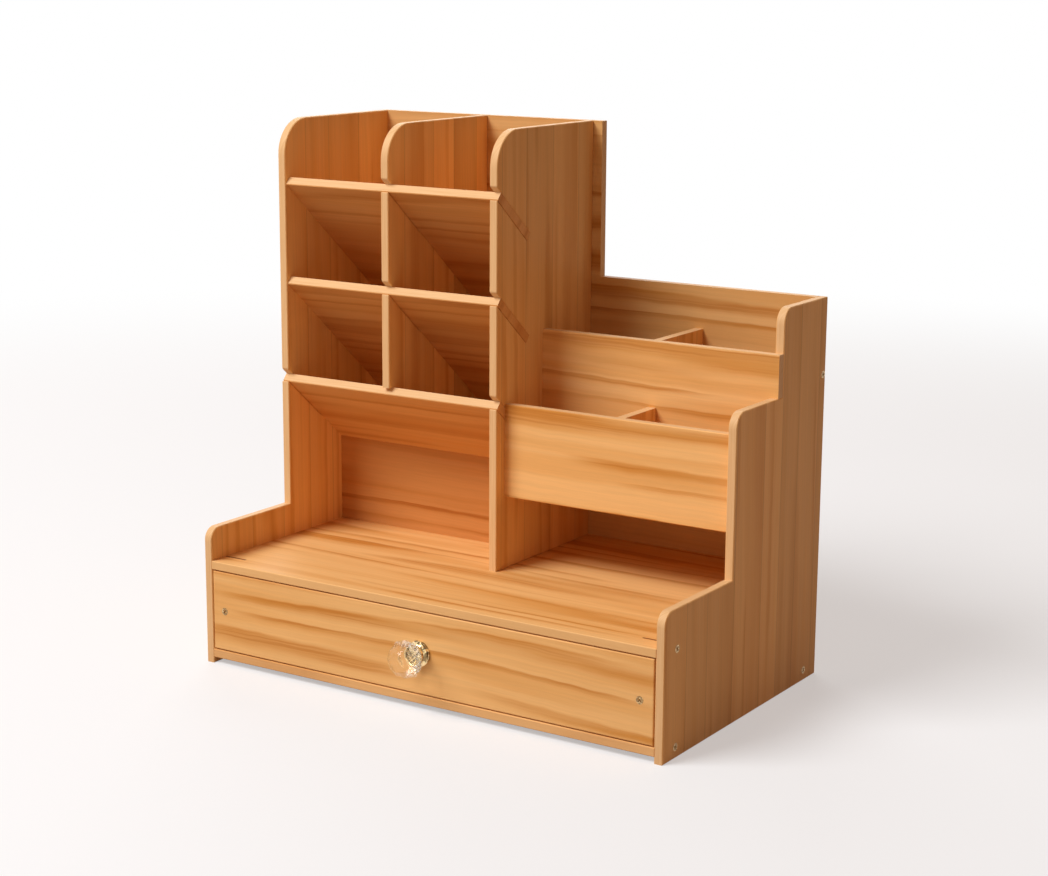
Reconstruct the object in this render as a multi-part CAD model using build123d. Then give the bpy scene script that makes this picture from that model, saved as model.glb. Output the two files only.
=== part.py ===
"""Desk organizer with a drawer: a rack of sloped pen trays beside two rows of bins, over a base drawer.

Every board is a separate solid.  Millimetres.  The model is drawn in bench coordinates:
x from the left outer face, y from the front edges of the base, z from the table.
It is moved to its origin, under the middle of its bounding box, when it is written.
"""
from build123d import *
import math
import os

# Boards and overall form
board = 4.2                 # thickness of every board
depth = 147.5               # front edges of the base to the back
ledge_depth = 60.0          # open ledge in front of the rack and the bins
tray_width = 57.1           # inside width of one column of sloped trays
bay_width = 120.0           # inside width of the right bay
low_wall_top = 66.5         # top of the low walls beside the ledge
ledge_top = 50.7            # upper face of the base's top board
base_lift = 2.9             # table to the underside of the base's bottom board
middle_step_top = 141.0     # top of the right panel beside the front bins
high_step_top = 181.0       # top of the right panel beside the rear bins
rack_top = 256.0            # top of the rack
back_overhang = 5.0         # back panel past the rack's right panel
low_round = 6.0             # radius of the low walls' front corners
step_round = 7.0            # radius of the right panel's step corners
rack_round = 17.0           # radius of the rack panels' top front corners
edge_break = 0.35           # chamfer along the outlines of the upright panels
front_round = 0.5           # soft front edges of the top board and the drawer front

# Sloped trays
shelf_slope = 40.0          # degrees below the horizontal, towards the back
shelf_setback = 0.4         # shelves' lower front edges behind the panels' front edges
shelf_rear_rise = 8.05      # underside of the lowest shelf above the ledge, at the back panel
top_tray_rise = 31.1        # rack's top above the highest shelf's lower front edge
shelf_count = 3
lap_length = 32.0           # how far along the slope a shelf runs in a panel's open slot
lap_gap = 0.1               # clearance on each side of a slot
shelf_end_recess = 0.4      # lowest shelf's left end behind the left panel's outer face
upper_mouth_round = 1.5     # corner of a panel above a slot that opens at its front edge
lower_mouth_round = 0.4     # the same corner below the slot
cubby_depth = 41.5          # inside depth of the cubby under the trays

# Bins
bin_setback = 7.0           # front bin board behind the panels' front edges
bin_bottom = 85.6           # underside of the bins' floor
front_bin_top = 129.8       # top of the front bin board
rear_bin_front = 99.2       # front face of the rear bins' front board
rear_bin_top = 160.7        # top of the rear bins' front board
divider_lap = 20.0          # height at which the divider and the rear bins' front board cross

# Drawer
side_gap = 0.6              # drawer front and bottom to the side panels
top_gap = 0.5               # drawer front to the base's top board
under_gap = 0.3             # drawer bottom to the base's bottom board
lip_gap = 0.5               # drawer front to the base's bottom board
rear_gap = 0.5              # drawer to the base's back board
drawer_side_inset = 5.3     # drawer sides in from the side panels
drawer_side_height = 26.0

# Knob
crystal_diameter = 18.0
crystal_length = 13.5
crystal_sides = 10
seat_depth = 1.0            # how far the crystal sits in its cup
cup_length = 5.0
cup_flange = 12.0           # diameter against the drawer front
flange_height = 0.9
cup_neck = 6.6
cup_rim = 9.6
cup_rim_height = 1.8
cup_wall = 0.6              # wall of the rim round the crystal
cup_sides = 24
knob_bolt = 3.0             # diameter of the bolt's shank
knob_bolt_reach = 2.6       # how far the bolt enters the cup
bolt_head = 6.6
bolt_head_height = 2.0
washer_diameter = 8.4
washer_thickness = 0.6

# Screws and dowels
screw_length = 15.0
screw_shank = 2.0
screw_head = 3.6
screw_gap = 0.1             # clearance round a screw
recess_width = 0.5          # cross recess in a screw's head
recess_depth = 0.7
screw_line = 11.0           # screws this far behind the front edges
rear_screw_line = 12.5      # screws of the base this far before the back
back_screw_drop = 16.7      # highest screws of the back panel below its top
panel_screw_inset = 20.0    # foot screws of the rack's right panel from its front and rear edges
board_screw_inset = 30.0    # screws of a crosswise board from its ends
base_screw_inset = 60.0     # screws of the base's back board from its ends
drawer_screw_inset = 28.0   # screws of the drawer's bottom from its front and rear
dowel_diameter = 2.0
dowel_length = 7.0
dowel_in_panel = 2.4        # part of a dowel that is in an upright panel
dowel_inset = 10.0          # dowels from the edges of a bin board
dowel_cover = 2.0           # from a dowel's middle to the slot of the lowest shelf, at least
dowel_gap = 0.1             # clearance round a dowel
round_sides = 12            # flat sides of a screw, a dowel, the knob's bolt and their holes

# Places that follow from the sizes above
slope = math.radians(shelf_slope)
rack_left = board
middle_divider_left = rack_left + tray_width
rack_panel_left = middle_divider_left + board + tray_width
bay_left = rack_panel_left + board
bay_right = bay_left + bay_width
width = bay_right + board
back_face = depth - board                       # front face of the back panels
bottom_top = base_lift + board
ledge_under = ledge_top - board
shelf_front = ledge_depth + shelf_setback
first_shelf = ledge_top + shelf_rear_rise + (back_face - shelf_front) * math.tan(slope)
shelf_pitch = (rack_top - top_tray_rise - first_shelf) / (shelf_count - 1)
cubby_back = ledge_depth + cubby_depth
bin_front = ledge_depth + bin_setback
bin_floor_top = bin_bottom + board
rear_step = rear_bin_front + board              # front edge of the right panel's top step
divider_left = (bay_left + bay_right - board) / 2
crossing = bin_floor_top + divider_lap
crystal_back = seat_depth - cup_length
knob_reach = crystal_length - crystal_back
drawer_bottom_z = bottom_top + under_gap
drawer_floor = drawer_bottom_z + board
drawer_front_low = bottom_top + lip_gap
drawer_front_high = ledge_under - top_gap
drawer_end = back_face - rear_gap
drawer_left = board + drawer_side_inset
drawer_right = width - drawer_left
knob_x = width / 2
knob_z = (drawer_front_low + drawer_front_high) / 2


def block(x, y, z):
    """A flat board from its lowest and highest x, y and z."""
    return Pos((x[0] + x[1]) / 2, (y[0] + y[1]) / 2, (z[0] + z[1]) / 2) * Box(x[1] - x[0], y[1] - y[0], z[1] - z[0])


def side_profile(points, left, thickness=board):
    """A board in a plane square to x, from its outline in y and z."""
    outline = Polyline(*[(left, y, z) for y, z in points], close=True)
    return extrude(make_face(outline), amount=thickness, dir=(1, 0, 0))


def front_profile(points, front, thickness=board):
    """A board in a plane square to y, from its outline in x and z."""
    outline = Polyline(*[(x, front, z) for x, z in points], close=True)
    return extrude(make_face(outline), amount=thickness, dir=(0, 1, 0))


def polygon_ring(radius, z, sides, turn=0.0):
    """Corners of a regular polygon at a height, turned by a share of one side."""
    angles = [2 * math.pi * (k + turn) / sides for k in range(sides)]
    return [(radius * math.cos(angle), radius * math.sin(angle), z) for angle in angles]


def flat_faced(outlines):
    """A solid from the outlines of its flat faces."""
    return Solid(Shell([Face(Wire.make_polygon(outline)) for outline in outlines]))


def round_corner(part, y, z, radius):
    """Rounds the corner of an upright panel that is nearest to y and z."""
    across = part.center().X
    corner = part.edges().filter_by(Axis.X).sort_by_distance((across, y, z))[0]
    return fillet(corner, radius)


def break_outline(part):
    """Chamfers both outlines of an upright panel."""
    left = part.faces().sort_by(Axis.X)[0].outer_wire().edges()
    right = part.faces().sort_by(Axis.X)[-1].outer_wire().edges()
    return chamfer(left + right, edge_break)


def shelf_point(level, along, up=0.0):
    """y and z of a point of a shelf: along its slope from the front, and up square to it."""
    y = shelf_front + along * math.cos(slope) + up * math.sin(slope)
    z = first_shelf + level * shelf_pitch - along * math.sin(slope) + up * math.cos(slope)
    return y, z


def shelf_height(level, y, up=0.0):
    """Height at y of the plane that lies up above a shelf's underside."""
    along = (y - shelf_front - up * math.sin(slope)) / math.cos(slope)
    return shelf_point(level, along, up)[1]


shelf_length = (back_face - shelf_front - board * math.sin(slope)) / math.cos(slope)


def shelf_blank(level, left, right, start, end, grow=0.0):
    """A slanted board from left to right, start to end along the slope, thicker by grow on each face."""
    points = [shelf_point(level, start, -grow), shelf_point(level, end, -grow),
              shelf_point(level, end, board + grow), shelf_point(level, start, board + grow)]
    return side_profile(points, left, right - left)


def cut_lap(panel, level, left):
    """Opens a slanted slot in an upright panel for a shelf, and rounds the slot's mouth."""
    slot = shelf_blank(level, left - 1, left + board + 1, -board - shelf_setback, lap_length + lap_gap, lap_gap)
    panel = panel - slot
    for up, radius in ((-lap_gap, lower_mouth_round), (board + lap_gap, upper_mouth_round)):
        panel = round_corner(panel, ledge_depth, shelf_height(level, ledge_depth, up), radius)
    return panel


# Fasteners

def rod(stations, sides=round_sides):
    """A rod along z with flat sides, from the radius and height of each station."""
    loops = [polygon_ring(radius, z, sides) for radius, z in stations]
    outlines = [loops[0], loops[-1]]
    for low, high in zip(loops, loops[1:]):
        outlines += [[low[k - 1], low[k], high[k], high[k - 1]] for k in range(sides)]
    return flat_faced(outlines)


def screw_solid(grow=0.0):
    """A countersunk wood screw with its head's face at z = 0, pointing down; grow makes its hole."""
    head = screw_head / 2 + grow
    shank = screw_shank / 2 + grow
    end = -screw_length - grow
    return rod([(head, 0), (shank, shank - head), (shank, end + screw_shank), (shank * 0.3, end)])


def wood_screw():
    """A wood screw with a cross recess."""
    arm = Pos(0, 0, -recess_depth / 2) * Box(screw_head * 0.5, recess_width, recess_depth)
    return screw_solid() - (arm + Rot(0, 0, 90) * arm)


def driven(shape, point, direction):
    """Puts a shape that points down at a place, pointing in a direction."""
    return Plane(origin=point, z_dir=tuple(-v for v in direction)).location * shape


def screws(places):
    return Compound(children=[driven(wood_screw(), *place) for place in places])


def with_screws(part, places):
    """The part with the holes of the screws that pass through it."""
    return part - [driven(screw_solid(screw_gap), *place) for place in places]


def dowel(place, grow=0.0):
    """A plain dowel whose middle is at a place, lying along x."""
    radius = dowel_diameter / 2 + grow
    end = dowel_length / 2 + grow
    return Pos(*place) * Rot(0, 90, 0) * rod([(radius, -end), (radius, end)])


def with_dowels(part, places):
    """The part with the blind holes of the dowels that enter it."""
    return part - [dowel(place, dowel_gap) for place in places]


RIGHTWARDS = (1, 0, 0)
LEFTWARDS = (-1, 0, 0)
BACKWARDS = (0, 1, 0)
FORWARDS = (0, -1, 0)
UPWARDS = (0, 0, 1)

back_middle = depth - board / 2
high_screw = rack_top - back_screw_drop
low_screw = (ledge_top + high_screw) / 2        # half way up the back panel
shelf_screw_along = (lap_length + shelf_length) / 2


def base_side_places(x, direction):
    """Screws through a side panel into the ends of the base's two boards."""
    top = ledge_top - board / 2
    bottom = base_lift + board / 2
    return [((x, screw_line, top), direction), ((x, screw_line, bottom), direction),
            ((x, depth - rear_screw_line, bottom), direction)]


left_shelf_screws = [((0, *shelf_point(level, shelf_screw_along, board / 2)), RIGHTWARDS)
                     for level in range(shelf_count)]
left_back_screws = [((0, back_middle, z), RIGHTWARDS) for z in (low_screw, high_screw)]
left_screws = base_side_places(0, RIGHTWARDS) + left_back_screws + left_shelf_screws
right_back_screws = [((width, back_middle, low_screw), LEFTWARDS)]
right_screws = base_side_places(width, LEFTWARDS) + right_back_screws

rack_panel_middle = rack_panel_left + board / 2
middle_divider_middle = middle_divider_left + board / 2
rear_screws = ([((x, depth, z), FORWARDS) for x in (rack_panel_middle, middle_divider_middle)
                for z in (low_screw, high_screw)]
               + [((x, depth, bin_bottom + board / 2), FORWARDS)
                  for x in (bay_left + board_screw_inset, bay_right - board_screw_inset)])
foot_screws = ([((rack_panel_middle, y, ledge_under), UPWARDS)
                for y in (ledge_depth + panel_screw_inset, back_face - panel_screw_inset)]
               + [((x, cubby_back + board / 2, ledge_under), UPWARDS)
                  for x in (rack_left + board_screw_inset, rack_panel_left - board_screw_inset)])
back_foot_screws = [((x, back_middle, base_lift), UPWARDS)
                    for x in (base_screw_inset, width - base_screw_inset)]


def dowel_pair(y, z):
    """Dowels at both ends of a board between the rack's right panel and the right side panel."""
    shift = dowel_length / 2 - dowel_in_panel
    return [(bay_left + shift, y, z), (bay_right - shift, y, z)]


front_dowel_y = bin_front + board / 2
under_slot = shelf_height(0, front_dowel_y, -lap_gap - dowel_cover)
front_board_dowels = [place for z in (bin_floor_top + dowel_inset, min(front_bin_top - dowel_inset, under_slot))
                      for place in dowel_pair(front_dowel_y, z)]
rear_board_dowels = [place for z in (bin_floor_top + dowel_inset, middle_step_top - dowel_inset)
                     for place in dowel_pair(rear_bin_front + board / 2, z)]
floor_dowels = [place for y in (bin_front + board + dowel_inset, back_face - dowel_inset)
                for place in dowel_pair(y, bin_bottom + board / 2)]
bin_dowels = front_board_dowels + rear_board_dowels + floor_dowels


# Upright panels

def left_side_panel():
    """One board from the table to the rack's top; the lowest shelf passes through its slot."""
    outline = [(0, 0), (depth, 0), (depth, rack_top), (ledge_depth, rack_top), (ledge_depth, low_wall_top),
               (0, low_wall_top)]
    panel = side_profile(outline, 0)
    panel = round_corner(panel, 0, low_wall_top, low_round)
    panel = round_corner(panel, ledge_depth, rack_top, rack_round)
    panel = cut_lap(panel, 0, 0)
    return with_screws(break_outline(panel), left_screws)


def right_side_panel():
    """The stepped board at the right: low beside the ledge, then a step for each row of bins."""
    outline = [(0, 0), (depth, 0), (depth, high_step_top), (rear_step, high_step_top),
               (rear_step, middle_step_top), (ledge_depth, middle_step_top), (ledge_depth, low_wall_top),
               (0, low_wall_top)]
    panel = side_profile(outline, bay_right)
    panel = round_corner(panel, 0, low_wall_top, low_round)
    panel = round_corner(panel, ledge_depth, middle_step_top, step_round)
    panel = round_corner(panel, rear_step, high_step_top, step_round)
    return with_dowels(with_screws(break_outline(panel), right_screws), bin_dowels)


def rack_right_panel():
    """Stands on the base's top board between the rack and the right bay; all shelves lap into it."""
    outline = [(ledge_depth, ledge_top), (back_face, ledge_top), (back_face, rack_top), (ledge_depth, rack_top)]
    panel = side_profile(outline, rack_panel_left)
    panel = round_corner(panel, ledge_depth, rack_top, rack_round)
    for level in range(shelf_count):
        panel = cut_lap(panel, level, rack_panel_left)
    return with_dowels(with_screws(break_outline(panel), rear_screws + foot_screws), bin_dowels)


def rack_middle_divider():
    """Stands on the lowest shelf, with its foot cut to the slope; the upper shelves lap into it."""
    shelf_edge = shelf_point(0, 0, board)
    outline = [(ledge_depth, shelf_edge[1]), shelf_edge, (back_face, shelf_height(0, back_face, board)),
               (back_face, rack_top), (ledge_depth, rack_top)]
    panel = side_profile(outline, middle_divider_left)
    panel = round_corner(panel, ledge_depth, rack_top, rack_round)
    for level in range(1, shelf_count):
        panel = cut_lap(panel, level, middle_divider_left)
    return with_screws(break_outline(panel), rear_screws)


# Sloped shelves

def shelf(level):
    """A sloped shelf: its front part lies in the panels' slots, its rear part has slots for the panels."""
    left = shelf_end_recess if level == 0 else rack_left
    front = shelf_blank(level, left, bay_left, 0, lap_length)
    rear = shelf_blank(level, rack_left, rack_panel_left - lap_gap, lap_length, shelf_length)
    part = front + rear
    if level > 0:
        part -= shelf_blank(level, middle_divider_left - lap_gap, middle_divider_left + board + lap_gap,
                            lap_length, shelf_length + 1, 1.0)
    front_edges = part.edges().filter_by(Axis.X).group_by(Axis.Y)[0]
    part = chamfer(front_edges, edge_break)
    return with_screws(part, left_shelf_screws)


def cubby_back_board():
    """Closes the cubby under the lowest shelf, with its top edge cut to the shelf's slope."""
    outline = [(cubby_back, ledge_top), (cubby_back + board, ledge_top),
               (cubby_back + board, shelf_height(0, cubby_back + board)), (cubby_back, shelf_height(0, cubby_back))]
    return with_screws(side_profile(outline, rack_left, rack_panel_left - rack_left), foot_screws)


# Base

def base_top_board():
    part = block((board, width - board), (0, depth), (ledge_under, ledge_top))
    part = fillet(part.edges().filter_by(Axis.X).group_by(Axis.Y)[0], front_round)
    return with_screws(part, left_screws + right_screws + foot_screws)


def base_bottom_board():
    part = block((board, width - board), (0, depth), (base_lift, bottom_top))
    part = chamfer(part.edges().filter_by(Axis.X).group_by(Axis.Y)[0], edge_break)
    return with_screws(part, left_screws + right_screws + back_foot_screws)


def base_back_board():
    part = block((board, width - board), (back_face, depth), (bottom_top, ledge_under))
    return with_screws(part, back_foot_screws)


def back_panel():
    """One stepped board behind the rack and the bins."""
    rack_edge = bay_left + back_overhang
    outline = [(board, ledge_top), (bay_right, ledge_top), (bay_right, high_step_top), (rack_edge, high_step_top),
               (rack_edge, rack_top), (board, rack_top)]
    return with_screws(front_profile(outline, back_face), left_screws + right_screws + rear_screws)


# Bins

def bin_front_board():
    part = block((bay_left, bay_right), (bin_front, bin_front + board), (bin_bottom, front_bin_top))
    part = chamfer(part.edges().filter_by(Axis.X).group_by(Axis.Y)[0], edge_break)
    return with_dowels(part, bin_dowels)


def rear_bin_board():
    """The rear bins' front board: its ear laps over the right panel, and its slot drops over the divider."""
    slot_left = divider_left - lap_gap
    slot_right = divider_left + board + lap_gap
    outline = [(bay_left, bin_floor_top), (slot_left, bin_floor_top), (slot_left, crossing),
               (slot_right, crossing), (slot_right, bin_floor_top), (bay_right, bin_floor_top),
               (bay_right, middle_step_top), (width, middle_step_top), (width, rear_bin_top),
               (bay_left, rear_bin_top)]
    return with_dowels(front_profile(outline, rear_bin_front), bin_dowels)


def bin_floor():
    part = block((bay_left, bay_right), (bin_front + board, back_face), (bin_bottom, bin_floor_top))
    return with_dowels(with_screws(part, rear_screws), bin_dowels)


def bin_divider():
    """One stepped board that parts both rows of bins, slotted from above for the rear bins' front board."""
    slot_front = rear_bin_front - lap_gap
    slot_back = rear_step + lap_gap
    outline = [(bin_front + board, bin_floor_top), (back_face, bin_floor_top), (back_face, rear_bin_top),
               (slot_back, rear_bin_top), (slot_back, crossing - lap_gap), (slot_front, crossing - lap_gap),
               (slot_front, front_bin_top), (bin_front + board, front_bin_top)]
    return side_profile(outline, divider_left)


# Drawer

drawer_side_middle = (drawer_left + board / 2, drawer_right - board / 2)
drawer_back_y = drawer_end - board
drawer_front_screws = [((x, 0, knob_z), BACKWARDS) for x in drawer_side_middle]
drawer_rear_screws = [((x, drawer_end - board / 2, drawer_floor + drawer_side_height / 2), direction)
                      for x, direction in ((drawer_left, RIGHTWARDS), (drawer_right, LEFTWARDS))]
drawer_floor_screws = [((x, y, drawer_bottom_z), UPWARDS) for x in drawer_side_middle
                       for y in (drawer_screw_inset, drawer_end - drawer_screw_inset)]
drawer_screws = drawer_front_screws + drawer_rear_screws + drawer_floor_screws


def drawer_front():
    part = block((board + side_gap, width - board - side_gap), (0, board), (drawer_front_low, drawer_front_high))
    part = fillet(part.faces().sort_by(Axis.Y)[0].outer_wire().edges(), front_round)
    bolt_hole = rod([(knob_bolt / 2 + screw_gap, -board), (knob_bolt / 2 + screw_gap, 0)])
    return with_screws(part - on_drawer_front(bolt_hole), drawer_screws)


def drawer_side(left):
    part = block((left, left + board), (board, drawer_end), (drawer_floor, drawer_floor + drawer_side_height))
    return with_screws(part, drawer_screws)


def drawer_back():
    part = block((drawer_left + board, drawer_right - board), (drawer_back_y, drawer_end),
                 (drawer_floor, drawer_floor + drawer_side_height))
    return with_screws(part, drawer_screws)


def drawer_bottom():
    part = block((board + side_gap, width - board - side_gap), (board, drawer_end), (drawer_bottom_z, drawer_floor))
    return with_screws(part, drawer_screws)


# Knob, drawn along z and turned to point forwards

def on_drawer_front(shape):
    """Turns a shape that stands on z = 0 so that it stands on the drawer's front face."""
    return Plane(origin=(knob_x, 0, knob_z), z_dir=FORWARDS).location * shape


def knob_cup():
    """A turned metal cup: a flange on the drawer front, a waist, and a rim that holds the crystal."""
    flange = cup_flange / 2
    neck = cup_neck / 2
    rim = cup_rim / 2
    neck_start = flange_height + (flange - neck) / 3
    rim_start = cup_length - cup_rim_height
    outside = rod([(flange, 0), (flange, flange_height), (neck + 0.5, neck_start), (neck, rim_start - 0.6),
                   (rim, rim_start), (rim, cup_length)], cup_sides)
    seat = rod([(rim - cup_wall, cup_length - seat_depth), (rim - cup_wall, cup_length)], cup_sides)
    bolt_hole = rod([(knob_bolt / 2 + screw_gap, 0), (knob_bolt / 2 + screw_gap, knob_bolt_reach)])
    return on_drawer_front(outside - seat - bolt_hole)


def knob_crystal():
    """A cut crystal: a short stem in the cup, rings of facets up to a wide girdle, and a flat table."""
    girdle = crystal_diameter / 2
    stem = cup_rim / 2 - cup_wall - screw_gap
    height = crystal_length - seat_depth
    rings = [(stem, 0.0, 0), (girdle * 0.84, 0.20, 0.5), (girdle, 0.44, 0), (girdle * 0.80, 0.78, 0.5),
             (girdle * 0.46, 1.0, 0)]
    loops = [polygon_ring(radius, cup_length + share * height, crystal_sides, turn) for radius, share, turn in rings]
    foot = polygon_ring(stem, cup_length - seat_depth, crystal_sides)
    outlines = [foot, loops[-1]]
    for k in range(crystal_sides):
        after = (k + 1) % crystal_sides
        outlines.append([foot[k], foot[after], loops[0][after], loops[0][k]])
        for low, high, (_, _, turn) in zip(loops, loops[1:], rings):
            if turn == 0:
                outlines += [[low[k], low[after], high[k]], [high[k], high[after], low[after]]]
            else:
                outlines += [[low[k], low[after], high[after]], [high[k], high[after], low[k]]]
    return on_drawer_front(flat_faced(outlines))


def knob_washer():
    outer = washer_diameter / 2
    inner = knob_bolt / 2 + screw_gap
    ring = rod([(outer, 0), (outer, washer_thickness)]) - rod([(inner, 0), (inner, washer_thickness)])
    return on_drawer_front(Pos(0, 0, -board - washer_thickness) * ring)


def knob_bolt_part():
    """A pan-head bolt from inside the drawer, through its front and into the cup."""
    under_head = -board - washer_thickness
    top = under_head - bolt_head_height
    head = bolt_head / 2
    shank = knob_bolt / 2
    bolt = rod([(head * 0.75, top), (head, top + bolt_head_height * 0.4), (head, under_head)])
    bolt += rod([(shank, under_head), (shank, knob_bolt_reach - screw_gap)])
    arm = Pos(0, 0, top + recess_depth / 2) * Box(head, recess_width, recess_depth)
    return on_drawer_front(bolt - (arm + Rot(0, 0, 90) * arm))


nodes = {
    "left_side_panel": left_side_panel(),
    "right_side_panel": right_side_panel(),
    "rack_right_panel": rack_right_panel(),
    "rack_middle_divider": rack_middle_divider(),
    "cubby_back_board": cubby_back_board(),
    "base_top_board": base_top_board(),
    "base_bottom_board": base_bottom_board(),
    "base_back_board": base_back_board(),
    "back_panel": back_panel(),
    "bin_front_board": bin_front_board(),
    "rear_bin_board": rear_bin_board(),
    "bin_floor": bin_floor(),
    "bin_divider": bin_divider(),
    "drawer_front": drawer_front(),
    "drawer_left_side": drawer_side(drawer_left),
    "drawer_right_side": drawer_side(drawer_right - board),
    "drawer_back": drawer_back(),
    "drawer_bottom": drawer_bottom(),
    "knob_cup": knob_cup(),
    "knob_crystal": knob_crystal(),
    "knob_washer": knob_washer(),
    "knob_bolt": knob_bolt_part(),
    "left_side_screws": screws(left_screws),
    "right_side_screws": screws(right_screws),
    "back_screws": screws(rear_screws),
    "ledge_screws": screws(foot_screws),
    "base_back_screws": screws(back_foot_screws),
    "drawer_front_screws": screws(drawer_front_screws),
    "drawer_box_screws": screws(drawer_rear_screws + drawer_floor_screws),
    "bin_dowels": Compound(children=[dowel(place) for place in bin_dowels]),
}
for level, name in enumerate(("sloped_shelf_lower", "sloped_shelf_middle", "sloped_shelf_upper")):
    nodes[name] = shelf(level)

to_origin = Pos(-width / 2, -(depth - knob_reach) / 2, 0)
os.makedirs("parts", exist_ok=True)
for name, shape in nodes.items():
    export_step(to_origin * shape, f"parts/{name}.step")
print("width", round(width, 2), "depth", depth, "height", rack_top, "knob reach", round(knob_reach, 2))
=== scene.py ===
# %% [markdown]
# # A desk organizer with a drawer
# The real object is made of thin fibreboard, covered with a printed wood foil on its faces and with
# edge bands round its outlines. Its only metal is its screws and the cup, washer and bolt of a crystal
# knob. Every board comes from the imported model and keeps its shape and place. This lesson gives each one
# its foil, makes the screws and the turned metal of the knob anew, and sets up the light and the camera.

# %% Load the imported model
import bmesh
import bpy
import math
from mathutils import Matrix, Vector


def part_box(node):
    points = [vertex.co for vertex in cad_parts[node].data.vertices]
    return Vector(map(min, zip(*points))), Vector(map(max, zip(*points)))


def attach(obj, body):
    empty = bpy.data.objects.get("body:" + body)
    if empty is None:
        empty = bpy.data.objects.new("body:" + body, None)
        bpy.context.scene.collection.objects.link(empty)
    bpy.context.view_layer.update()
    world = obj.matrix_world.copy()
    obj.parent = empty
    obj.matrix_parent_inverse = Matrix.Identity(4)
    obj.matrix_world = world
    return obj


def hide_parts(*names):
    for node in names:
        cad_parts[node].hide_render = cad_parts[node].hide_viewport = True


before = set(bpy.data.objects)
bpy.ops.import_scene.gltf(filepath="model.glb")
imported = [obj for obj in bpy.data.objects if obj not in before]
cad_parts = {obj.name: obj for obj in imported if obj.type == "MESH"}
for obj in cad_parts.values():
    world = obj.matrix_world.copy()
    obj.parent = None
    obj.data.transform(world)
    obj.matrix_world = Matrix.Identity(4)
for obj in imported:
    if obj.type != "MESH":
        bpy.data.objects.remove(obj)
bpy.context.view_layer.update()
scene = bpy.context.scene
MM = 0.001

# %% [markdown]
# ## Camera
# The camera stands where the photograph was taken: about a metre away, to the right of the front and a
# little above the top of the rack. Its place and turn were fitted to corners of the boards, whose real
# places are known. Turning about the vertical first, then down, and last about the line of sight, keeps
# the three angles easy to read.

# %% Camera
camera_place = Vector((542.6, -819.8, 329.1)) * MM
camera_turn = math.radians(32.851)       # to the right of straight in front
camera_dip = math.radians(12.342)        # below the horizon
camera_roll = math.radians(0.354)
camera_lens = 74.38                      # mm
sensor_width = 36.0                      # mm
nearest_seen = 0.05                      # m

camera = bpy.data.objects.new("camera", bpy.data.cameras.new("camera"))
camera.data.lens = camera_lens
camera.data.sensor_width = sensor_width
camera.data.clip_start = nearest_seen
camera.matrix_world = (Matrix.Translation(camera_place) @ Matrix.Rotation(camera_turn, 4, "Z")
                       @ Matrix.Rotation(math.pi / 2 - camera_dip, 4, "X")
                       @ Matrix.Rotation(camera_roll, 4, "Z"))
scene.collection.objects.link(camera)
scene.camera = camera
print("camera", round(camera_place.length, 3), "m from the origin")

# %% [markdown]
# ## Writing finishes as sums
# A finish is a tree of nodes. Written out node by node it is hard to read, so one small class wraps the
# output of a node and gives it Python's operators: adding two wires makes the Math node that adds them.
# All other nodes come from one method, which takes the node's type, its settings and its sockets.

# %% Wires


class Wire:
    """One output of a node: a number, a vector or a colour. Operators on numbers add Math nodes."""

    def __init__(self, tree, socket):
        self.tree = tree
        self.socket = socket

    def math(self, operation, *others):
        return self.tree.node("ShaderNodeMath", {"operation": operation}, dict(enumerate((self, *others))))

    def __add__(self, other):
        return self.math("ADD", other)

    def __sub__(self, other):
        return self.math("SUBTRACT", other)

    def __mul__(self, other):
        return self.math("MULTIPLY", other)

    def __truediv__(self, other):
        return self.math("DIVIDE", other)

    def __rsub__(self, other):
        return self.math("MULTIPLY", -1.0) + other

    __radd__ = __add__
    __rmul__ = __mul__

    def step(self, low, high):
        """0 below low, 1 above high, and smooth between."""
        return self.tree.node("ShaderNodeMapRange", {"interpolation_type": "SMOOTHSTEP"},
                              {"Value": self, "From Min": low, "From Max": high})

    def dot(self, vector):
        """How far this vector goes along another, as a number."""
        return self.tree.node("ShaderNodeVectorMath", {"operation": "DOT_PRODUCT"},
                              {0: self, 1: vector}, "Value")


print("wires can add, subtract, multiply, divide, step and dot")

# %% Trees


class Tree:
    """A node tree under construction."""

    def __init__(self, nodes_of):
        self.tree = nodes_of
        self.tree.nodes.clear()

    def node(self, kind, settings, sockets, output=0):
        """Adds a node, with its settings first, then its sockets' values or links."""
        node = self.tree.nodes.new(kind)
        for name, value in settings.items():
            setattr(node, name, value)
        for key, value in sockets.items():
            named = [s for s in node.inputs if s.identifier == key]
            socket = named[0] if named else node.inputs[key]
            if isinstance(value, Wire):
                self.tree.links.new(value.socket, socket)
            else:
                socket.default_value = value
        return Wire(self, node.outputs[output]) if node.outputs else node

    def mix(self, factor, low, high, blend="MIX"):
        """Mixes two colours."""
        return self.node("ShaderNodeMix", {"data_type": "RGBA", "blend_type": blend},
                         {"Factor_Float": factor, "A_Color": low, "B_Color": high}, "Result")

    def noise(self, x, y, size, detail=1.0):
        """Smooth noise between 0 and 1 over two coordinates, stretched to a size along each of them."""
        vector = self.node("ShaderNodeCombineXYZ", {}, {"X": x / size[0], "Y": y / size[1]})
        return self.node("ShaderNodeTexNoise", {"noise_dimensions": "2D"},
                         {"Vector": vector, "Scale": 1.0, "Detail": detail, "Roughness": 0.5})


print("trees can add any node, mix colours and make noise")

# %% Materials


def colour(red, green, blue):
    """A colour as seen on screen, from 0 to 255, as the linear one that a shader takes: the sRGB curve."""
    shares = [c / 255 for c in (red, green, blue)]
    return tuple(s / 12.92 if s <= 0.04045 else ((s + 0.055) / 1.055) ** 2.4 for s in shares) + (1.0,)


def material(name):
    """A new material and the tree of its nodes."""
    made = bpy.data.materials.new(name)
    made.use_nodes = True
    return made, Tree(made.node_tree)


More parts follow.
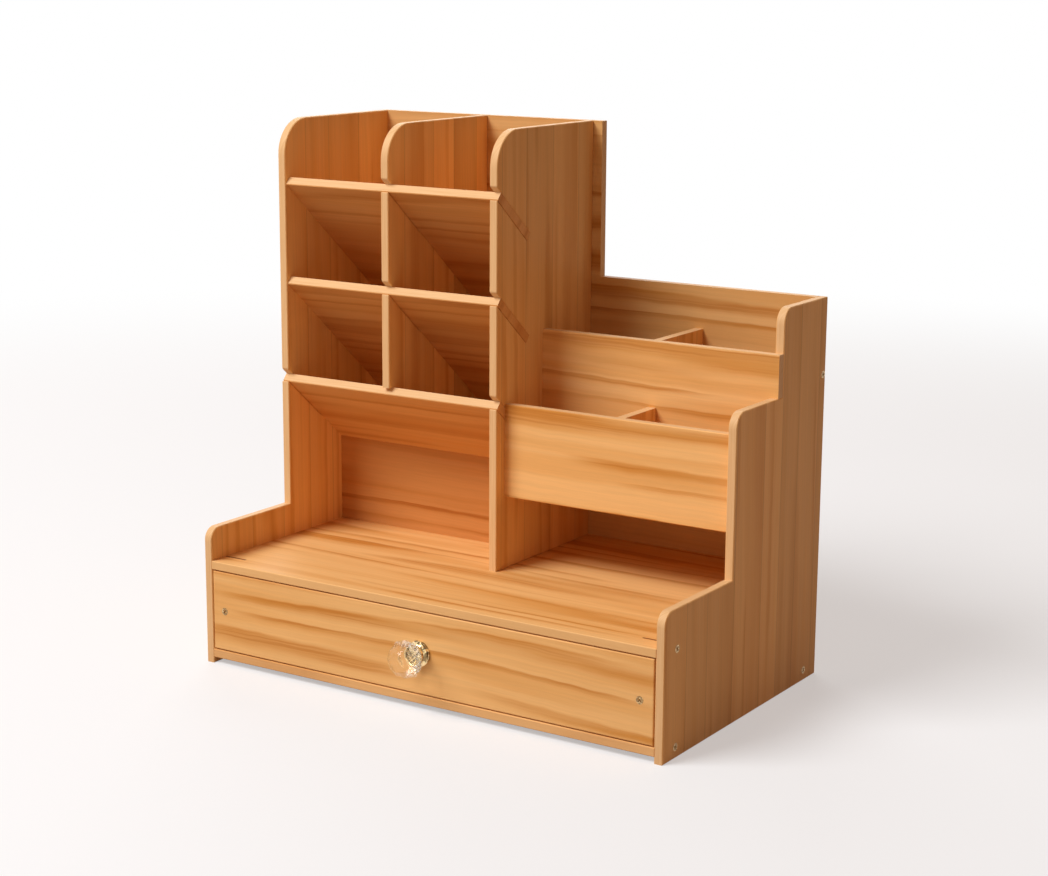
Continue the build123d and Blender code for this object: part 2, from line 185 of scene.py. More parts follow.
def surface(tree, **sockets):
    """Ends a material's tree in one Principled shader."""
    shader = tree.node("ShaderNodeBsdfPrincipled", {}, {k.replace("_", " "): v for k, v in sockets.items()})
    tree.node("ShaderNodeOutputMaterial", {}, {"Surface": shader})


print("mid grey on screen is", round(colour(128, 128, 128)[0], 3), "in linear light")

# %% [markdown]
# ## Printed wood
# The foil imitates a softwood panel glued up from strips. Each board needs the print in its own
# direction, so the finish works in the board's own three directions, in millimetres: along the grain,
# across it, and through the board. The streaks are contour lines of a noise that is stretched along the
# grain, because growth rings cut by a saw look the same. Where the surface faces sideways it is an edge,
# and it gets the plain, lighter edge band.

# %% Colours and sizes of the print
light_wood = colour(250, 198, 130)
honey_wood = colour(226, 158, 76)
deep_wood = colour(192, 118, 46)
band_light = colour(241, 201, 150)
band_dark = colour(224, 178, 124)
split_wood = colour(112, 56, 20)

# lengths of the noises in mm, along the grain and across it
waves = (230.0, 80.0)
ripples = (16.0, 9.0)
honey_zones = (300.0, 11.0)
ring_drift = (700.0, 17.0)
fading = (160.0, 14.0)
fine_lines = (90.0, 1.3)
fibres = (9.0, 0.4)
band_grain = (25.0, 0.7)

wave_height = 7.0            # mm, how far the waves push the grain aside
ripple_height = 1.1          # mm
drift_rings = 1.9            # how many rings the drift moves them by
ring_width = 14.0            # mm from one growth ring to the next, on average
grain_tilt = 0.006           # how far the print runs off the board's own direction
seed_jump = (173.0, 57.0)    # mm on the print from one seed to the next, along and across
strip_jump = (900.0, 90.0)   # mm on the print between strips, at most
print("growth rings", ring_width, "mm apart, fine lines", fine_lines[1], "mm")

# %% Strips


def strips(tree, v, width):
    """A random number for each strip of a glued panel, and 1 at the joints between them."""
    cells = {"W": v / width, "Scale": 1.0, "Randomness": 0.85}
    cell = tree.node("ShaderNodeTexVoronoi", {"voronoi_dimensions": "1D"}, cells, "Color")
    lot = tree.node("ShaderNodeSeparateColor", {}, {"Color": cell}, "Red")
    seam = tree.node("ShaderNodeTexVoronoi", {"voronoi_dimensions": "1D", "feature": "DISTANCE_TO_EDGE"},
                     cells, "Distance")
    joint = 1 - (seam * width).step(0.1, 0.45)
    return lot, joint


print("strips ready")

# %% Growth rings


def grain(tree, u, v, lot):
    """Honey zones along the grain, and growth rings with the strength at which they show, which fades in
    and out. Each ring darkens slowly and ends sharply, as in sawn softwood. Last come the fine lines."""
    u_print = u + lot * strip_jump[0]
    v_print = v + lot * strip_jump[1] + u * grain_tilt + tree.noise(u_print, v, waves) * wave_height
    v_print = v_print + tree.noise(u_print, v, ripples) * ripple_height
    honey = tree.noise(u_print, v_print, honey_zones, 2.0).step(0.42, 0.64)
    drift = tree.noise(u_print, v_print, ring_drift, 0.0) * drift_rings
    rings = (drift + v_print / ring_width).math("FRACT")
    late = rings.step(0.35, 0.82) * (1 - rings.step(0.88, 1.0))
    strength = tree.noise(u_print, v_print, fading).step(0.36, 0.58)
    fine = tree.noise(u_print, v_print, fine_lines, 3.0)
    return honey, late, strength, fine


print("growth rings ready")

# %% Splits
split_start = 108.5          # mm from the middle of the organizer to the inner ends of the splits
split_fade = 1.0             # mm over which they set in
split_edge = (0.45, 0.80)    # mm from a split's line to where it begins to fade and where it is gone
split_wander = 0.5           # mm


def splits(tree, face, u, v, fine, line):
    """Darkens thin splits near both ends of a board, along one line across it."""
    off_line = (v - line + (fine - 0.5) * split_wander).math("ABSOLUTE")
    crack = u.math("ABSOLUTE").step(split_start, split_start + split_fade) * (1 - off_line.step(*split_edge))
    return tree.mix(crack * 0.95, face, split_wood)


print("splits begin", split_start, "mm from the middle")

# %% The whole foil
honey_share, ring_share = 0.40, 0.60       # how much of the honey colour the zones and the rings bring
line_share, extra_line_share = 0.20, 0.40  # how much of the deepest colour the rings get, and on fine lines
fine_tone, fibre_tone, strip_tone = 0.16, 0.06, 0.22
joint_shade = 0.16
edge_turn = (0.45, 0.75)                   # how squarely a surface faces a direction, from not to fully
foil_roughness, fibre_roughness = 0.46, 0.10
fibre_depth = 0.04 * MM


def wood(name, along, across, seed, strip=None, streaks=1.0, roll=1.0, warmth=0.0, banding=1.0,
         ends=1.0, split=None):
    """The foil for one board: its directions along and across the grain, its strips' width in mm, how strong
    its streaks are, how far painted shade darkens and reddens it, how much its edges and the ends of its
    grain show the edge band, and the place across it of the splits that its side screws have made."""
    made, tree = material(name)
    place = tree.node("ShaderNodeTexCoord", {}, {}, "Object")
    facing = tree.node("ShaderNodeTexCoord", {}, {}, "Normal")
    through = along.cross(across)
    u_here = place.dot(along) / MM
    v_here = place.dot(across) / MM
    w = place.dot(through) / MM
    u = u_here + seed * seed_jump[0]
    v = v_here + seed * seed_jump[1]

    lot, joint = strips(tree, v, strip) if strip else (0.5, 0.0)
    honey, late, strength, fine = grain(tree, u, v, lot)
    fibre = tree.noise(u, v + w, fibres, 2.0)
    face = tree.mix((honey * honey_share + late * strength * ring_share) * streaks, light_wood, honey_wood)
    lines = line_share + fine.step(0.40, 0.64) * extra_line_share
    face = tree.mix(late.step(0.40, 1.0) * strength * lines * streaks, face, deep_wood)
    tone_and_painted_shade = 0.96 + (fine - 0.5) * fine_tone + (fibre - 0.5) * fibre_tone
    # Painted shade: the last factor darkens the whole print of boards that stand in shade.
    tone_and_painted_shade = (tone_and_painted_shade + (lot - 0.5) * strip_tone) * (1 - joint * joint_shade) * roll
    face = tree.mix(1.0, face, tone_and_painted_shade, "MULTIPLY")
    # Painted shade: this makes the print redder on boards in deep shade.
    face = tree.mix(1.0, face, (1.0, 1.0 - 0.3 * warmth, 1.0 - 0.5 * warmth, 1.0), "MULTIPLY")
    if split is not None:
        face = splits(tree, face, u_here, v_here, fine, split)

    band = tree.mix(tree.noise(u, v + w, band_grain), band_dark, band_light)
    edge = (1 - facing.dot(through).math("ABSOLUTE").step(*edge_turn)) * banding
    edge = edge * (1 - facing.dot(along).math("ABSOLUTE").step(*edge_turn) * (1.0 - ends))
    bump = tree.node("ShaderNodeBump", {}, {"Strength": 0.25, "Distance": fibre_depth, "Height": fibre})
    surface(tree, Base_Color=tree.mix(edge, face, band), Roughness=foil_roughness + fibre * fibre_roughness,
            Normal=bump, Specular_IOR_Level=0.14)
    return made


print("wood finish ready")

# %% [markdown]
# ## The foil on each board
# On the upright panels the grain runs up. On all boards that lie or stand across the organizer, it runs
# from left to right. The sloped shelves' print follows their slope. A seed says which piece of the print
# a board gets, and boards of one kind take seeds that follow each other, so no two show the same piece.
# The sloped shelves, the ledge, the back panel and the board behind the cubby get painted shade: their
# print is darker, and on some redder, for shade that the plain lamps don't give.

# %% Directions and boards
RIGHT = Vector((1, 0, 0))
BACK = Vector((0, 1, 0))
UP = Vector((0, 0, 1))
shelf_slope = math.radians(40.0)
DOWN_SLOPE = Vector((0, math.cos(shelf_slope), -math.sin(shelf_slope)))
panel_strip = 21.0           # mm, width of the strips that the print of the upright panels imitates
side_screw_line = -54.5      # mm, where the front screws of the side panels enter the ledge's board

upright_panels = ["left_side_panel", "right_side_panel", "rack_right_panel", "rack_middle_divider",
                  "bin_divider"]
shelves = ["sloped_shelf_lower", "sloped_shelf_middle", "sloped_shelf_upper"]
standing_boards = ["base_back_board", "drawer_back", "bin_front_board", "rear_bin_board"]
lying_boards = ["bin_floor", "base_bottom_board", "drawer_bottom"]
drawer_sides = ["drawer_left_side", "drawer_right_side"]
print("the shelves slope down", round(math.degrees(shelf_slope)), "degrees towards the back")

# %% Cover the boards
covered = []


def finish_node(name, made):
    """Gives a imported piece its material."""
    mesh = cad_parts[name].data
    mesh.materials.clear()
    mesh.materials.append(made)


def cover(names, along, across, first_seed, **print_settings):
    """Covers boards that lie the same way."""
    for seed, name in enumerate(names, first_seed):
        finish_node(name, wood(name + "_foil", along, across, seed, **print_settings))
        covered.append(name)


cover(upright_panels, UP, BACK, 541, strip=panel_strip, streaks=0.5)
# Painted shade: darker, and on some redder, prints for the shelves, the board behind the cubby and the back
# panel, which stand in shade.
cover(shelves, RIGHT, DOWN_SLOPE, 11, streaks=0.6, roll=0.88, warmth=0.4, ends=0.1)
cover(["cubby_back_board"], RIGHT, UP, 361, roll=0.70, warmth=0.9)
cover(["back_panel"], RIGHT, UP, 362, roll=0.8)
cover(standing_boards, RIGHT, UP, 879)
cover(["drawer_front"], RIGHT, UP, 883, banding=0.2)
# Painted shade: the ledge's print is a little darker, to dim its lit top.
cover(["base_top_board"], RIGHT, BACK, 431, roll=0.93, banding=0.3, split=side_screw_line)
cover(lying_boards, RIGHT, BACK, 32, banding=0.5)
cover(drawer_sides, BACK, UP, 41)
print("boards covered", len(covered))

# %% [markdown]
# ## Metal, crystal and dowels
# Metal is a plain Principled shader with full metallic: its look comes from what it reflects. A little
# noise in the roughness keeps it from looking like a mirror. Real plating also reflects a whole room, so
# it shows many small dark spots. A plain studio has none, and darker flecks in the colour stand in for
# them as painted reflections. The chrome's golden colour is painted reflection too, of the wood round it.
# The crystal is clear glass with flat facets.

# %% Metal
# Painted reflections: dark flecks in the metal's colour stand in for a room that it would reflect.
painted_fleck_level = 0.49           # level of the noise at the middle of a fleck's edge
painted_reflection_strength = 0.85


def metal(name, tint, shade, roughness, spread, painted_fleck_size, blur):
    """Plated metal: its colour, the darker colour of its painted reflections, its roughness and how far that
    varies, and the size in mm and blur of the spots of painted reflection."""
    made, tree = material(name)
    place = tree.node("ShaderNodeTexCoord", {}, {}, "Object")
    painted_reflection_and_roughness_noise = tree.node("ShaderNodeTexNoise", {}, {"Vector": place, "Scale": 1 / (painted_fleck_size * MM), "Detail": 2.0})
    # Painted reflections: where the noise is high, the colour turns to the darker one.
    painted_reflection_flecks = painted_reflection_and_roughness_noise.step(painted_fleck_level - blur, painted_fleck_level + blur) * painted_reflection_strength
    surface(tree, Base_Color=tree.mix(painted_reflection_flecks, tint, shade), Metallic=1.0,
            Roughness=roughness + (painted_reflection_and_roughness_noise - 0.5) * spread)
    return made


# On both metals the darker colour and its flecks are painted reflections.
zinc = metal("zinc_plating", colour(216, 182, 132), colour(150, 116, 76), roughness=0.34, spread=0.20,
             painted_fleck_size=1.1, blur=0.07)
# Painted reflection: the chrome's golden colour stands in for the wood that it reflects.
chrome = metal("chrome_plating", colour(246, 219, 167), colour(124, 96, 58), roughness=0.08, spread=0.08,
               painted_fleck_size=1.8, blur=0.05)
print("metals", zinc.name, chrome.name)

# %% Crystal and dowels


def crystal():
    """Clear glass that hides little: the alpha lets more of the cup show than the glass alone would."""
    made, tree = material("clear_crystal")
    surface(tree, Base_Color=(1.0, 0.96, 0.90, 1.0), Roughness=0.0, IOR=1.44, Transmission_Weight=1.0,
            Alpha=0.36)
    return made


finish_node("knob_crystal", crystal())
finish_node("bin_dowels", wood("dowel_beech", RIGHT, BACK, 51, streaks=0.3))
print("crystal and dowels finished")

# %% [markdown]
# ## Turned metal of the knob
# The cup that holds the crystal, its washer and its bolt are turned on a lathe. So each one is a profile of
# radius and height that is spun round the knob's axis. Heights count forwards from the drawer's front. The
# floor of the cup, seen through the crystal, is a low star of flat facets, which breaks up what it reflects.

# %% Where the knob stands
knob_low, knob_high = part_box("knob_cup")
knob_foot = Vector(((knob_low[0] + knob_high[0]) / 2, knob_high[1], (knob_low[2] + knob_high[2]) / 2))
FORWARDS = Vector((0, -1, 0))
front_board = 4.2            # mm, thickness of the drawer's front
washer = 0.6                 # mm, thickness of the washer
head_seat = -front_board - washer
head_height = 2.0            # mm, from its seat to the top of the bolt's head
print("the knob's axis is", round(knob_foot.z / MM, 1), "mm above the table")

# %% A star of facets
star_sizes = {"radius": 4.25, "base": 3.2, "valley": 3.55, "peak": 4.0, "points": 7}     # mm
middle_dip = 0.2             # mm, how far the star's middle lies below its valleys


def star(mesh, radius, base, valley, peak, points):
    """Adds a flat solid whose front is a star of facets, low in the middle and with every other corner
    high."""
    middle = mesh.verts.new(knob_foot + FORWARDS * (valley - middle_dip) * MM)
    rim = []
    foot = []
    for k in range(2 * points):
        spoke = Matrix.Rotation(math.tau * k / (2 * points), 3, FORWARDS) @ UP * radius
        rim.append(mesh.verts.new(knob_foot + (spoke + FORWARDS * (valley if k % 2 else peak)) * MM))
        foot.append(mesh.verts.new(knob_foot + (spoke + FORWARDS * base) * MM))
    for k in range(2 * points):
        mesh.faces.new((middle, rim[k - 1], rim[k]))
        mesh.faces.new((rim[k], rim[k - 1], foot[k - 1], foot[k]))
    mesh.faces.new(foot[::-1])


print("star of", 2 * star_sizes["points"], "facets")

# %% A cross recess
recess_reach = 2.0           # mm, from the middle to the end of each arm
recess_width = 0.8           # mm
recess_ends = (head_seat - 3.0, head_seat - 0.9)     # mm, from outside the head to the recess's floor


def cut_cross(piece):
    """Cuts a cross recess into the head of the bolt."""
    side = recess_width / 2
    arm = [(side, side), (side, recess_reach), (-side, recess_reach)]
    outline = [Matrix.Rotation(math.pi / 2 * k, 2) @ Vector(corner) for k in range(4) for corner in arm]
    cutter = bmesh.new()
    ends = [[cutter.verts.new(knob_foot + (FORWARDS * height + RIGHT * corner.x + UP * corner.y) * MM)
             for corner in outline] for height in recess_ends]
    for end in ends:
        cutter.faces.new(end)
    for k in range(len(outline)):
        cutter.faces.new((ends[0][k - 1], ends[0][k], ends[1][k], ends[1][k - 1]))
    bmesh.ops.recalc_face_normals(cutter, faces=cutter.faces)
    mesh = bpy.data.meshes.new("cross")
    cutter.to_mesh(mesh)
    cutter.free()
    tool = bpy.data.objects.new("cross", mesh)
    scene.collection.objects.link(tool)
    modifier = piece.modifiers.new("cross", "BOOLEAN")
    modifier.object = tool
    bpy.context.view_layer.update()
    piece.data = bpy.data.meshes.new_from_object(piece.evaluated_get(bpy.context.evaluated_depsgraph_get()))
    piece.modifiers.remove(modifier)
    bpy.data.objects.remove(tool)


print("recess", round(recess_ends[1] - (head_seat - head_height), 2), "mm deep")

# %% Spinning a profile
turning_steps = 72
weld = 0.002                 # mm, points of a spun profile that are closer than this become one
smooth_below = 38.0          # degrees between two facets up to which they look smooth
star_smooth_below = 8.0      # degrees, where the flat facets of the star have to show


def triangles(piece):
    return sum(len(p.vertices) - 2 for p in piece.data.polygons)


def keep_order(items):
    """Sorts edges or faces by their corners, because a spin lists them in a different order each time."""
    ranks = {item: rank for rank, item in enumerate(sorted(
        items, key=lambda item: sorted(corner.index for corner in item.verts)))}
    items.sort(key=ranks.get)


def turned(name, profile, made, with_star=False, with_cross=False):
    """Spins a profile of radius and height in mm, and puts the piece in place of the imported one."""
    spun = bmesh.new()
    corners = [spun.verts.new(knob_foot + FORWARDS * height * MM + UP * radius * MM)
               for radius, height in profile]
    for first, second in zip(corners, corners[1:]):
        spun.edges.new((first, second))
    bmesh.ops.spin(spun, geom=spun.verts[:] + spun.edges[:], cent=knob_foot, axis=FORWARDS, angle=math.tau,
                   steps=turning_steps, use_merge=True)
    bmesh.ops.remove_doubles(spun, verts=spun.verts, dist=weld * MM)
    bmesh.ops.recalc_face_normals(spun, faces=spun.faces)
    if with_star:
        star(spun, **star_sizes)
    spun.verts.index_update()
    keep_order(spun.edges)
    keep_order(spun.faces)
    mesh = bpy.data.meshes.new(name)
    spun.to_mesh(mesh)
    spun.free()
    mesh.materials.append(made)
    piece = bpy.data.objects.new("turned_" + name, mesh)
    scene.collection.objects.link(piece)
    if with_cross:
        cut_cross(piece)
    piece.data.shade_smooth()
    piece.data.set_sharp_from_angle(angle=math.radians(star_smooth_below if with_star else smooth_below))
    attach(piece, "drawer")
    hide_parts(name)
    print(piece.name, "triangles", triangles(piece))


print("a profile is spun in", turning_steps, "steps")

# %% Cup
cup_profile = [
    (0, 2.6), (1.6, 2.6), (1.6, 0), (5.8, 0), (5.95, 0.08), (6.0, 0.25), (6.0, 0.6), (5.93, 0.82),
    (5.7, 0.93), (5.0, 1.06), (4.35, 1.36), (3.85, 1.72), (3.5, 2.1), (3.35, 2.45), (3.4, 2.75),
    (3.7, 3.0), (4.2, 3.12), (4.6, 3.2), (4.76, 3.34), (4.8, 3.55), (4.8, 4.82), (4.74, 4.95),
    (4.6, 5.0), (4.36, 5.0), (4.24, 4.92), (4.2, 4.75), (4.2, 3.3), (0, 3.3),
]
turned("knob_cup", cup_profile, chrome, with_star=True)

# %% Washer and bolt
washer_profile = [
    (1.6, -front_board), (4.1, -front_board), (4.2, -front_board - 0.1),
    (4.2, -front_board - washer + 0.1), (4.1, -front_board - washer), (1.6, -front_board - washer),
    (1.6, -front_board),
]
bolt_profile = [
    (0, head_seat - head_height), (1.2, head_seat - 1.97), (2.2, head_seat - 1.8),
    (2.9, head_seat - 1.4), (3.22, head_seat - 0.9), (3.3, head_seat - 0.4),
    (3.28, head_seat - 0.08), (3.2, head_seat),
    (1.5, head_seat), (1.5, 2.3), (1.3, 2.5), (0, 2.5),
]
turned("knob_washer", washer_profile, zinc)
turned("knob_bolt", bolt_profile, zinc, with_cross=True)

# %% [markdown]
# ## Screws
# All screws are alike, so one is modelled and a Geometry Nodes tree puts it at every place. The packed
# model holds a plain rod where each screw goes. Its separate lumps give the place of each head and the
# way it points, which become points with a direction for the tree to put a detailed screw on.

# %% Separate rods
same_place = 0.001           # mm, corners that are closer than this are one corner


def lumps(node):
    """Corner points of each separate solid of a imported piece."""
    mesh = bmesh.new()
    mesh.from_mesh(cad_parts[node].data)
    bmesh.ops.remove_doubles(mesh, verts=mesh.verts, dist=same_place * MM)
    left = set(mesh.verts)
    found = []
    while left:
        queue = [left.pop()]
        lump = []
        while queue:
            vertex = queue.pop()
            lump.append(vertex.co.copy())
            for edge in vertex.link_edges:
                other = edge.other_vert(vertex)
                if other in left:
                    left.remove(other)
                    queue.append(other)
        found.append(lump)
    mesh.free()
    return found


print("rods in the right side panel", len(lumps("right_side_screws")))

# %% Heads and directions
near_end = 0.2               # mm, corners this close to the end of a rod belong to that end


def head_and_way(lump):
    """The middle of a screw's head and the direction that the head faces: the wider end is the head."""
    low = Vector(min(p[k] for p in lump) for k in range(3))
    high = Vector(max(p[k] for p in lump) for k in range(3))
    size = high - low
    axis = max(range(3), key=lambda k: size[k])
    other = (axis + 1) % 3

    def spread(end):
        near = [p[other] for p in lump if abs(p[axis] - end) < near_end * MM]
        return max(near) - min(near)

    up = spread(high[axis]) > spread(low[axis])
    head = (low + high) / 2
    head[axis] = high[axis] if up else low[axis]
    way = Vector((0, 0, 0))
    way[axis] = 1.0 if up else -1.0
    return head, way


print("the first of them faces", head_and_way(lumps("right_side_screws")[0])[1][:])

# %% Places of the screws
screw_nodes = {
    "cabinet": ["left_side_screws", "right_side_screws", "back_screws", "ledge_screws", "base_back_screws"],
    "drawer": ["drawer_front_screws", "drawer_box_screws"],
}


def places_of(node):
    """Heads and directions of a node's screws. Lumps are found in a different order each time, so they are
    sorted by where their heads are, and each screw keeps its own random spin from run to run."""
    return sorted((head_and_way(lump) for lump in lumps(node)),
                  key=lambda screw: [round(c / MM, 2) for c in screw[0]])


screw_places = {body: [screw for node in nodes for screw in places_of(node)]
                for body, nodes in screw_nodes.items()}
print("screws", {body: len(places) for body, places in screw_places.items()})

# %% [markdown]
# ## One screw, many places
# The tree builds a countersunk wood screw from a cone, a core, a tip and a thread that is a spiral swept
# with a three-sided section. A cross recess is cut into the head. Each point gets a copy that is turned
# to its direction and given a random spin, because nobody lines up the slots of hidden screws.

# %% Screw sizes
screw_sizes = {"Head radius": 1.8 * MM, "Core radius": 0.75 * MM, "Thread radius": 0.28 * MM,
               "Length": 15.0 * MM, "Tip": 2.2 * MM, "Recess": 0.5 * MM, "Recess depth": 1.1 * MM}
head_corners = 32
core_corners = 16
hub_corners = 8
thread_corners = 3
thread_turns = 11.0
turn_steps = 12              # runs of the thread in one turn
thread_share = 0.9           # of the core's length
tip_radius = 0.08 * MM
hub_share = 1.4              # of the recess's depth
arm_share = 1.25             # of the head's radius
arms = ((0.0, 1.0), (math.pi / 2, 0.95))     # turn and share of depth: unlike depths keep their floors apart
print("screws", round(screw_sizes["Length"] / MM, 1), "mm long")

# %% One screw


def moved(tree, geometry, z, turn=0.0):
    """Moves a shape along the screw and turns it about the screw's axis."""
    shift = tree.node("ShaderNodeCombineXYZ", {}, {"Z": z})
    return tree.node("GeometryNodeTransform", {},
                     {"Geometry": geometry, "Translation": shift, "Rotation": (0.0, 0.0, turn)})


def screw_head(tree, size, depth):
    """A countersunk head with a cross recess."""
    head = moved(tree, tree.node("GeometryNodeMeshCone", {}, {
        "Vertices": head_corners, "Radius Top": size["Head radius"], "Radius Bottom": size["Core radius"],
        "Depth": depth}), depth * -1.0)
    cutters = [tree.node("GeometryNodeMeshCylinder", {}, {
        "Vertices": hub_corners, "Radius": size["Recess"], "Depth": size["Recess depth"] * hub_share})]
    for turn, share in arms:
        arm_size = tree.node("ShaderNodeCombineXYZ", {}, {
            "X": size["Head radius"] * arm_share, "Y": size["Recess"], "Z": size["Recess depth"] * share})
        cutters.append(moved(tree, tree.node("GeometryNodeMeshCube", {}, {"Size": arm_size}), 0.0, turn))
    for cutter in cutters:
        head = tree.node("GeometryNodeMeshBoolean", {"operation": "DIFFERENCE"},
                         {"Mesh 1": head, "Mesh 2": cutter}, "Mesh")
    return head


def screw_shank(tree, size, head_depth):
    """The core, the tip and the thread round the core."""
    core_length = size["Length"] - head_depth - size["Tip"]
    core = moved(tree, tree.node("GeometryNodeMeshCylinder", {}, {
        "Vertices": core_corners, "Radius": size["Core radius"], "Depth": core_length}),
        (head_depth + core_length / 2) * -1.0)
    tip = moved(tree, tree.node("GeometryNodeMeshCone", {}, {
        "Vertices": core_corners, "Radius Top": size["Core radius"], "Radius Bottom": tip_radius,
        "Depth": size["Tip"]}), size["Length"] * -1.0)
    spiral = tree.node("GeometryNodeCurveSpiral", {}, {
        "Resolution": turn_steps, "Rotations": thread_turns, "Start Radius": size["Core radius"],
        "End Radius": size["Core radius"], "Height": core_length * thread_share})
    section = tree.node("GeometryNodeCurvePrimitiveCircle", {}, {
        "Resolution": thread_corners, "Radius": size["Thread radius"]})
    thread = moved(tree, tree.node("GeometryNodeCurveToMesh", {}, {
        "Curve": spiral, "Profile Curve": section, "Fill Caps": True}), (size["Length"] - size["Tip"]) * -1.0)
    return core, tip, thread


print("head, core, tip and thread ready")

# %% Screws on points


def screw_tree(made):
    """The tree that puts screws on points with a way attribute."""
    group = bpy.data.node_groups.new("screws_on_points", "GeometryNodeTree")
    group.interface.new_socket("Geometry", in_out="INPUT", socket_type="NodeSocketGeometry")
    for name, default in screw_sizes.items():
        socket = group.interface.new_socket(name, in_out="INPUT", socket_type="NodeSocketFloat")
        socket.default_value = default
    group.interface.new_socket("Seed", in_out="INPUT", socket_type="NodeSocketInt").default_value = 3
    group.interface.new_socket("Geometry", in_out="OUTPUT", socket_type="NodeSocketGeometry")
    tree = Tree(group)
    inputs = group.nodes.new("NodeGroupInput").outputs
    given = {name: Wire(tree, inputs[name]) for name in ("Geometry", "Seed", *screw_sizes)}

    head_depth = given["Head radius"] - given["Core radius"]
    whole = group.nodes.new("GeometryNodeJoinGeometry")
    for part in (screw_head(tree, given, head_depth), *screw_shank(tree, given, head_depth)):
        group.links.new(part.socket, whole.inputs[0])

    way = tree.node("GeometryNodeInputNamedAttribute", {"data_type": "FLOAT_VECTOR"}, {"Name": "way"})
    turn = tree.node("FunctionNodeAlignRotationToVector", {"axis": "Z"}, {"Vector": way})
    spin = tree.node("FunctionNodeRandomValue", {"data_type": "FLOAT"}, {
        "Min_001": 0.0, "Max_001": math.pi / 2, "Seed": given["Seed"]}, 1)
    spun = tree.node("FunctionNodeAxisAngleToRotation", {}, {"Axis": (0.0, 0.0, 1.0), "Angle": spin})
    turn = tree.node("FunctionNodeRotateRotation", {"rotation_space": "LOCAL"}, {
        "Rotation": turn, "Rotate By": spun})
    placed = tree.node("GeometryNodeInstanceOnPoints", {}, {
        "Points": given["Geometry"], "Instance": Wire(tree, whole.outputs[0]), "Rotation": turn})
    real = tree.node("GeometryNodeRealizeInstances", {}, {"Geometry": placed})
    finished = tree.node("GeometryNodeSetMaterial", {}, {"Geometry": real, "Material": made})
    tree.node("NodeGroupOutput", {}, {"Geometry": finished})
    return group


screws = screw_tree(zinc)
print("screw tree", len(screws.nodes), "nodes")

# %% Grow the screws
first_spin_seed = 5


def grown(name, points, ways, group, seed):
    """Runs a tree over points and keeps what it makes as a plain mesh object."""
    host_mesh = bpy.data.meshes.new(name + "_points")
    host_mesh.from_pydata(points, [], [])
    attribute = host_mesh.attributes.new("way", "FLOAT_VECTOR", "POINT")
    for item, way in zip(attribute.data, ways):
        item.vector = way
    host = bpy.data.objects.new(name + "_host", host_mesh)
    scene.collection.objects.link(host)
    modifier = host.modifiers.new("grow", "NODES")
    modifier.node_group = group
    inputs = {s.name: s.identifier for s in group.interface.items_tree if s.in_out == "INPUT"}
    modifier[inputs["Seed"]] = seed
    bpy.context.view_layer.update()
    evaluated = host.evaluated_get(bpy.context.evaluated_depsgraph_get())
    mesh = bpy.data.meshes.new_from_object(evaluated)
    host.modifiers.remove(modifier)
    bpy.data.objects.remove(host)
    mesh.name = name
    piece = bpy.data.objects.new(name, mesh)
    scene.collection.objects.link(piece)
    return piece


for seed, (body, places) in enumerate(screw_places.items(), first_spin_seed):
    piece = grown(body + "_screws", [head for head, _ in places], [way for _, way in places], screws, seed)
    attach(piece, body)
    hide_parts(*screw_nodes[body])
    print(piece.name, "triangles", triangles(piece))

# %% [markdown]
# ## Stage and light
# The photograph is a studio shot: one large soft lamp from the front left, a little above, and a pale
# room that fills the shade. The floor and the backdrop are one curved sheet, as in a studio. Both the
# sheet and the room look white where they are seen, directly or in metal and glass, but light the object
# with a plain, warm fill of their own.

# %% Seen or only giving light


def seen_directly(tree):
    """1 where a ray comes from the camera, off metal or through glass, and 0 where it only carries light."""
    path = tree.tree.nodes.new("ShaderNodeLightPath")
    seen = Wire(tree, path.outputs["Is Camera Ray"])
    for other in ("Is Glossy Ray", "Is Transmission Ray"):
        seen = seen.math("MAXIMUM", Wire(tree, path.outputs[other]))
    return seen


WHITE = (1.0, 1.0, 1.0, 1.0)
print("light path helper ready")

# %% Paper
paper_as_light = (0.41, 0.32, 0.25, 1.0)
paper_as_seen = (0.88, 0.91, 0.94, 1.0)
near_glow = 0.45             # share of glow near the object, where the paper has to keep the shadow
near_reach, far_reach = 0.5, 1.3     # m from the middle, where the glow begins to grow and where it is full


def pale_paper():
    """White paper: where it is seen it glows a little, so that it is white but for the shadow."""
    made, tree = material("pale_paper")
    seen = seen_directly(tree)
    place = tree.node("ShaderNodeTexCoord", {}, {}, "Object")
    far = place.dot(place).step(near_reach ** 2, far_reach ** 2)
    matt = tree.node("ShaderNodeBsdfDiffuse", {}, {"Color": tree.mix(seen, paper_as_light, paper_as_seen)})
    glow = tree.node("ShaderNodeEmission", {}, {"Color": WHITE, "Strength": 1.0})
    glowing = seen * (near_glow + far * (1 - near_glow))
    mixed = tree.node("ShaderNodeMixShader", {}, {0: glowing, 1: matt, 2: glow})
    tree.node("ShaderNodeOutputMaterial", {}, {"Surface": mixed})
    return made


print("paper ready")

# %% Sweep


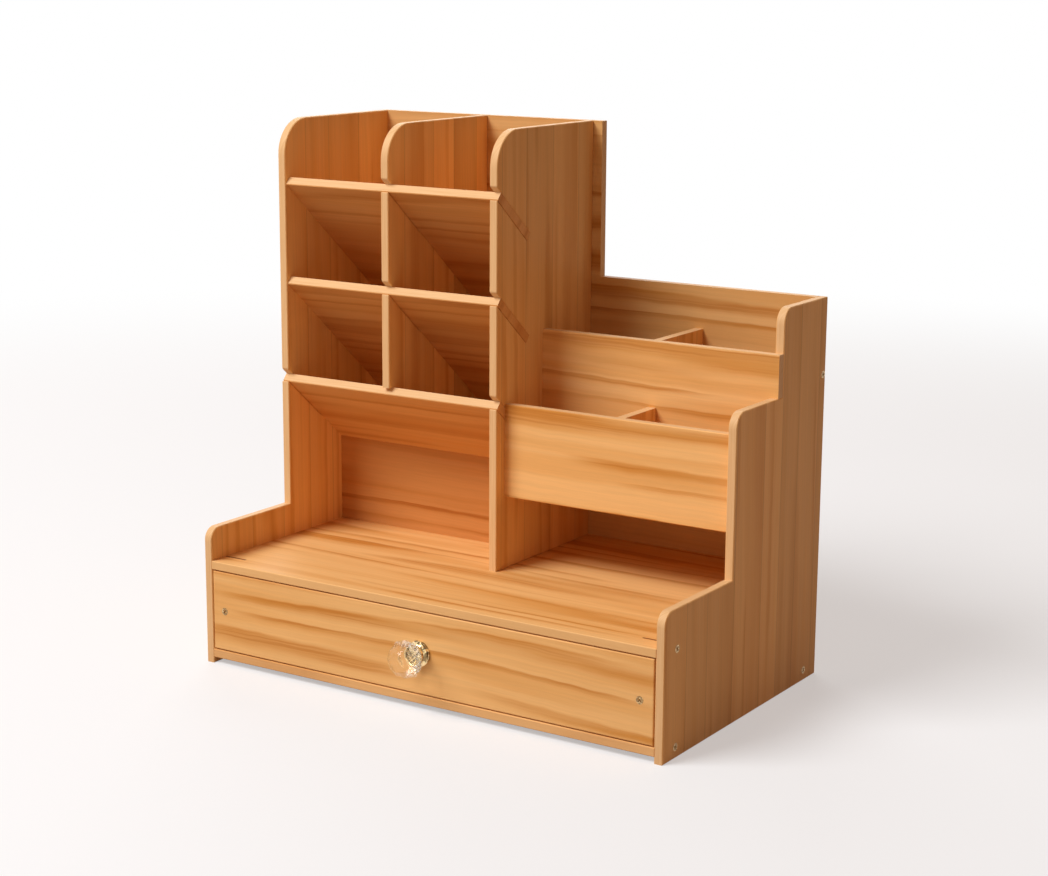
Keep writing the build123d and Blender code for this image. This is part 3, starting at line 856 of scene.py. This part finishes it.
def sweep():
    """A floor that curves up into a backdrop."""
    half_width = 3.0
    front = -2.5
    bend_start = 1.6
    bend_radius = 1.2
    height = 3.5
    steps = 24
    profile = [(front, 0.0), (bend_start, 0.0)]
    for k in range(1, steps + 1):
        angle = math.pi / 2 * k / steps
        profile.append((bend_start + bend_radius * math.sin(angle), bend_radius * (1 - math.cos(angle))))
    profile.append((bend_start + bend_radius, height))
    points = [(x, y, z) for y, z in profile for x in (-half_width, half_width)]
    faces = [(2 * k, 2 * k + 1, 2 * k + 3, 2 * k + 2) for k in range(len(profile) - 1)]
    mesh = bpy.data.meshes.new("paper_sweep")
    mesh.from_pydata(points, [], faces)
    mesh.materials.append(pale_paper())
    for polygon in mesh.polygons:
        polygon.use_smooth = True
    sheet = bpy.data.objects.new("paper_sweep", mesh)
    scene.collection.objects.link(sheet)
    print(sheet.name, "faces", len(faces))


sweep()

# %% Lamps
lamp_aim = Vector((0, 0, 0.11))      # m, near the middle of the organizer


def softbox(name, place, power, width, height):
    """A soft rectangular lamp that looks at the organizer: its place and size in m, its power in W."""
    lamp = bpy.data.lights.new(name, "AREA")
    lamp.shape = "RECTANGLE"
    lamp.size = width
    lamp.size_y = height
    lamp.energy = power
    stand = bpy.data.objects.new(name, lamp)
    stand.location = place
    stand.rotation_euler = (lamp_aim - Vector(place)).to_track_quat("-Z", "Y").to_euler()
    scene.collection.objects.link(stand)
    print("lamp", name, power, "W")


softbox("key", place=(-1.0, -1.45, 1.95), power=62.0, width=1.4, height=1.1)
softbox("rear_fill", place=(-1.2, 1.5, 1.2), power=12.0, width=1.2, height=1.2)

# %% Room
fill = 0.28                          # strength of the room as a light, where 1 is white
fill_tint = (1.0, 0.62, 0.43, 1.0)

world = bpy.data.worlds.new("studio")
world.use_nodes = True
room = Tree(world.node_tree)
seen = seen_directly(room)
shine = room.node("ShaderNodeBackground", {}, {
    "Color": room.mix(seen, fill_tint, WHITE), "Strength": fill + seen * (1 - fill)})
room.node("ShaderNodeOutputWorld", {}, {"Surface": shine})
scene.world = world
scene.view_settings.view_transform = "Standard"
print("the room fills the shade at", fill)
